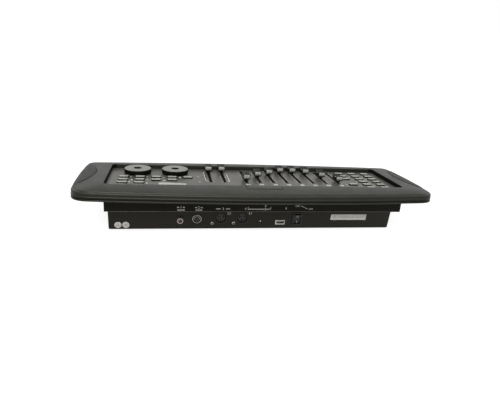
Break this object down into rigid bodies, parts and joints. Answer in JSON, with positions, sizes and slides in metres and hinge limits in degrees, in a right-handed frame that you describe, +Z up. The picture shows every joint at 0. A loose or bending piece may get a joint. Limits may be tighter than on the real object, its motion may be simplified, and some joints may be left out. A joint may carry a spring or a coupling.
{
  "type": "dmx lighting controller",
  "caption": "Stage lighting control desk: tilted panel with slide faders, jog wheels and push buttons in a moulded shell, on a steel base with sockets and a power switch at the rear.",
  "frame": {"origin": "on the table under the middle of the desk, at the underside of its feet", "axes": "+X towards the user's right, +Y towards the rear sockets, +Z up"},
  "size_m": [0.5148, 0.1786, 0.081],
  "materials": {
    "shell_plastic": "fine moulded texture",
    "panel_paint": "satin",
    "base_paint": "satin",
    "circuit_board": "matte",
    "display_window": "gloss",
    "cap_plastic": "satin",
    "wheel_plastic": "satin",
    "button_rubber": "matte",
    "socket_plastic": "satin",
    "socket_metal": "plated",
    "foot_rubber": "matte"
  },
  "bodies": {
    "desk": {"top_shell": "shell_plastic", "control_panel": "panel_paint", "main_board": "circuit_board", "display_module": "display_window", "base_pan": "base_paint", "jack_board": "circuit_board", "rca_jack": "socket_metal", "midi_socket": "socket_metal", "xlr_socket_1": "socket_plastic", "xlr_socket_2": "socket_plastic", "dc_jack": "socket_plastic", "usb_socket": "socket_metal", "switch_housing": "socket_plastic", "rubber_foot_1": "foot_rubber", "rubber_foot_2": "foot_rubber", "rubber_foot_3": "foot_rubber", "rubber_foot_4": "foot_rubber"},
    "fader_cap_1": {"fader_cap_1": "cap_plastic"},
    "fader_cap_2": {"fader_cap_2": "cap_plastic"},
    "fader_cap_3": {"fader_cap_3": "cap_plastic"},
    "fader_cap_4": {"fader_cap_4": "cap_plastic"},
    "fader_cap_5": {"fader_cap_5": "cap_plastic"},
    "fader_cap_6": {"fader_cap_6": "cap_plastic"},
    "fader_cap_7": {"fader_cap_7": "cap_plastic"},
    "fader_cap_8": {"fader_cap_8": "cap_plastic"},
    "speed_fader_cap": {"speed_fader_cap": "cap_plastic"},
    "fade_fader_cap": {"fade_fader_cap": "cap_plastic"},
    "pan_jog_wheel": {"pan_jog_wheel": "wheel_plastic"},
    "tilt_jog_wheel": {"tilt_jog_wheel": "wheel_plastic"},
    "fixture_button_1": {"fixture_button_1": "button_rubber"},
    "fixture_button_2": {"fixture_button_2": "button_rubber"},
    "fixture_button_3": {"fixture_button_3": "button_rubber"},
    "fixture_button_4": {"fixture_button_4": "button_rubber"},
    "fixture_button_5": {"fixture_button_5": "button_rubber"},
    "fixture_button_6": {"fixture_button_6": "button_rubber"},
    "fixture_button_7": {"fixture_button_7": "button_rubber"},
    "fixture_button_8": {"fixture_button_8": "button_rubber"},
    "fixture_button_9": {"fixture_button_9": "button_rubber"},
    "fixture_button_10": {"fixture_button_10": "button_rubber"},
    "fixture_button_11": {"fixture_button_11": "button_rubber"},
    "fixture_button_12": {"fixture_button_12": "button_rubber"},
    "scene_button_1": {"scene_button_1": "button_rubber"},
    "scene_button_2": {"scene_button_2": "button_rubber"},
    "scene_button_3": {"scene_button_3": "button_rubber"},
    "scene_button_4": {"scene_button_4": "button_rubber"},
    "function_button_1": {"function_button_1": "button_rubber"},
    "function_button_2": {"function_button_2": "button_rubber"},
    "function_button_3": {"function_button_3": "button_rubber"},
    "function_button_4": {"function_button_4": "button_rubber"},
    "function_button_5": {"function_button_5": "button_rubber"},
    "function_button_6": {"function_button_6": "button_rubber"},
    "function_button_7": {"function_button_7": "button_rubber"},
    "function_button_8": {"function_button_8": "button_rubber"},
    "function_button_9": {"function_button_9": "button_rubber"},
    "function_button_10": {"function_button_10": "button_rubber"},
    "function_button_11": {"function_button_11": "button_rubber"},
    "function_button_12": {"function_button_12": "button_rubber"},
    "function_button_13": {"function_button_13": "button_rubber"},
    "power_rocker": {"power_rocker": "socket_plastic"}
  },
  "joints": [
    {"name": "fader_cap_1_slide", "type": "slide", "parent": "desk", "child": "fader_cap_1", "axis": [0, 0.9943, 0.1063], "range_m": [-0.0519, 0.0081]},
    {"name": "fader_cap_2_slide", "type": "slide", "parent": "desk", "child": "fader_cap_2", "axis": [0, 0.9943, 0.1063], "range_m": [-0.02958, 0.03042]},
    {"name": "fader_cap_3_slide", "type": "slide", "parent": "desk", "child": "fader_cap_3", "axis": [0, 0.9943, 0.1063], "range_m": [-0.01032, 0.04968]},
    {"name": "fader_cap_4_slide", "type": "slide", "parent": "desk", "child": "fader_cap_4", "axis": [0, 0.9943, 0.1063], "range_m": [-0.0051, 0.0549]},
    {"name": "fader_cap_5_slide", "type": "slide", "parent": "desk", "child": "fader_cap_5", "axis": [0, 0.9943, 0.1063], "range_m": [-0.0057, 0.0543]},
    {"name": "fader_cap_6_slide", "type": "slide", "parent": "desk", "child": "fader_cap_6", "axis": [0, 0.9943, 0.1063], "range_m": [-0.01872, 0.04128]},
    {"name": "fader_cap_7_slide", "type": "slide", "parent": "desk", "child": "fader_cap_7", "axis": [0, 0.9943, 0.1063], "range_m": [-0.0318, 0.0282]},
    {"name": "fader_cap_8_slide", "type": "slide", "parent": "desk", "child": "fader_cap_8", "axis": [0, 0.9943, 0.1063], "range_m": [-0.0507, 0.0093]},
    {"name": "speed_fader_cap_slide", "type": "slide", "parent": "desk", "child": "speed_fader_cap", "axis": [0, 0.9943, 0.1063], "range_m": [-0.00372, 0.05628]},
    {"name": "fade_fader_cap_slide", "type": "slide", "parent": "desk", "child": "fade_fader_cap", "axis": [0, 0.9943, 0.1063], "range_m": [-0.00528, 0.05472]},
    {"name": "pan_jog_wheel_turn", "type": "hinge", "parent": "desk", "child": "pan_jog_wheel", "pos_m": [0.1206, -0.02964, 0.06557], "axis": [0, -0.1063, 0.9943], "continuous": true},
    {"name": "tilt_jog_wheel_turn", "type": "hinge", "parent": "desk", "child": "tilt_jog_wheel", "pos_m": [0.176, -0.02964, 0.06557], "axis": [0, -0.1063, 0.9943], "continuous": true},
    {"name": "fixture_button_1_press", "type": "slide", "parent": "desk", "child": "fixture_button_1", "axis": [0, 0.1063, -0.9943], "range_m": [0, 0.0008], "stiffness_N_per_m": 600, "springref_m": -0.0003},
    {"name": "fixture_button_2_press", "type": "slide", "parent": "desk", "child": "fixture_button_2", "axis": [0, 0.1063, -0.9943], "range_m": [0, 0.0008], "stiffness_N_per_m": 600, "springref_m": -0.0003},
    {"name": "fixture_button_3_press", "type": "slide", "parent": "desk", "child": "fixture_button_3", "axis": [0, 0.1063, -0.9943], "range_m": [0, 0.0008], "stiffness_N_per_m": 600, "springref_m": -0.0003},
    {"name": "fixture_button_4_press", "type": "slide", "parent": "desk", "child": "fixture_button_4", "axis": [0, 0.1063, -0.9943], "range_m": [0, 0.0008], "stiffness_N_per_m": 600, "springref_m": -0.0003},
    {"name": "fixture_button_5_press", "type": "slide", "parent": "desk", "child": "fixture_button_5", "axis": [0, 0.1063, -0.9943], "range_m": [0, 0.0008], "stiffness_N_per_m": 600, "springref_m": -0.0003},
    {"name": "fixture_button_6_press", "type": "slide", "parent": "desk", "child": "fixture_button_6", "axis": [0, 0.1063, -0.9943], "range_m": [0, 0.0008], "stiffness_N_per_m": 600, "springref_m": -0.0003},
    {"name": "fixture_button_7_press", "type": "slide", "parent": "desk", "child": "fixture_button_7", "axis": [0, 0.1063, -0.9943], "range_m": [0, 0.0008], "stiffness_N_per_m": 600, "springref_m": -0.0003},
    {"name": "fixture_button_8_press", "type": "slide", "parent": "desk", "child": "fixture_button_8", "axis": [0, 0.1063, -0.9943], "range_m": [0, 0.0008], "stiffness_N_per_m": 600, "springref_m": -0.0003},
    {"name": "fixture_button_9_press", "type": "slide", "parent": "desk", "child": "fixture_button_9", "axis": [0, 0.1063, -0.9943], "range_m": [0, 0.0008], "stiffness_N_per_m": 600, "springref_m": -0.0003},
    {"name": "fixture_button_10_press", "type": "slide", "parent": "desk", "child": "fixture_button_10", "axis": [0, 0.1063, -0.9943], "range_m": [0, 0.0008], "stiffness_N_per_m": 600, "springref_m": -0.0003},
    {"name": "fixture_button_11_press", "type": "slide", "parent": "desk", "child": "fixture_button_11", "axis": [0, 0.1063, -0.9943], "range_m": [0, 0.0008], "stiffness_N_per_m": 600, "springref_m": -0.0003},
    {"name": "fixture_button_12_press", "type": "slide", "parent": "desk", "child": "fixture_button_12", "axis": [0, 0.1063, -0.9943], "range_m": [0, 0.0008], "stiffness_N_per_m": 600, "springref_m": -0.0003},
    {"name": "scene_button_1_press", "type": "slide", "parent": "desk", "child": "scene_button_1", "axis": [0, 0.1063, -0.9943], "range_m": [0, 0.0008], "stiffness_N_per_m": 600, "springref_m": -0.0003},
    {"name": "scene_button_2_press", "type": "slide", "parent": "desk", "child": "scene_button_2", "axis": [0, 0.1063, -0.9943], "range_m": [0, 0.0008], "stiffness_N_per_m": 600, "springref_m": -0.0003},
    {"name": "scene_button_3_press", "type": "slide", "parent": "desk", "child": "scene_button_3", "axis": [0, 0.1063, -0.9943], "range_m": [0, 0.0008], "stiffness_N_per_m": 600, "springref_m": -0.0003},
    {"name": "scene_button_4_press", "type": "slide", "parent": "desk", "child": "scene_button_4", "axis": [0, 0.1063, -0.9943], "range_m": [0, 0.0008], "stiffness_N_per_m": 600, "springref_m": -0.0003},
    {"name": "function_button_1_press", "type": "slide", "parent": "desk", "child": "function_button_1", "axis": [0, 0.1063, -0.9943], "range_m": [0, 0.0008], "stiffness_N_per_m": 600, "springref_m": -0.0003},
    {"name": "function_button_2_press", "type": "slide", "parent": "desk", "child": "function_button_2", "axis": [0, 0.1063, -0.9943], "range_m": [0, 0.0008], "stiffness_N_per_m": 600, "springref_m": -0.0003},
    {"name": "function_button_3_press", "type": "slide", "parent": "desk", "child": "function_button_3", "axis": [0, 0.1063, -0.9943], "range_m": [0, 0.0008], "stiffness_N_per_m": 600, "springref_m": -0.0003},
    {"name": "function_button_4_press", "type": "slide", "parent": "desk", "child": "function_button_4", "axis": [0, 0.1063, -0.9943], "range_m": [0, 0.0008], "stiffness_N_per_m": 600, "springref_m": -0.0003},
    {"name": "function_button_5_press", "type": "slide", "parent": "desk", "child": "function_button_5", "axis": [0, 0.1063, -0.9943], "range_m": [0, 0.0008], "stiffness_N_per_m": 600, "springref_m": -0.0003},
    {"name": "function_button_6_press", "type": "slide", "parent": "desk", "child": "function_button_6", "axis": [0, 0.1063, -0.9943], "range_m": [0, 0.0008], "stiffness_N_per_m": 600, "springref_m": -0.0003},
    {"name": "function_button_7_press", "type": "slide", "parent": "desk", "child": "function_button_7", "axis": [0, 0.1063, -0.9943], "range_m": [0, 0.0008], "stiffness_N_per_m": 600, "springref_m": -0.0003},
    {"name": "function_button_8_press", "type": "slide", "parent": "desk", "child": "function_button_8", "axis": [0, 0.1063, -0.9943], "range_m": [0, 0.0008], "stiffness_N_per_m": 600, "springref_m": -0.0003},
    {"name": "function_button_9_press", "type": "slide", "parent": "desk", "child": "function_button_9", "axis": [0, 0.1063, -0.9943], "range_m": [0, 0.0008], "stiffness_N_per_m": 600, "springref_m": -0.0003},
    {"name": "function_button_10_press", "type": "slide", "parent": "desk", "child": "function_button_10", "axis": [0, 0.1063, -0.9943], "range_m": [0, 0.0008], "stiffness_N_per_m": 600, "springref_m": -0.0003},
    {"name": "function_button_11_press", "type": "slide", "parent": "desk", "child": "function_button_11", "axis": [0, 0.1063, -0.9943], "range_m": [0, 0.0008], "stiffness_N_per_m": 600, "springref_m": -0.0003},
    {"name": "function_button_12_press", "type": "slide", "parent": "desk", "child": "function_button_12", "axis": [0, 0.1063, -0.9943], "range_m": [0, 0.0008], "stiffness_N_per_m": 600, "springref_m": -0.0003},
    {"name": "function_button_13_press", "type": "slide", "parent": "desk", "child": "function_button_13", "axis": [0, 0.1063, -0.9943], "range_m": [0, 0.0008], "stiffness_N_per_m": 600, "springref_m": -0.0003},
    {"name": "power_rocker_tip", "type": "hinge", "parent": "desk", "child": "power_rocker", "pos_m": [-0.0622, 0.03293, 0.0203], "axis": [1, 0, 0], "range_deg": [0, 18]}
  ]
}
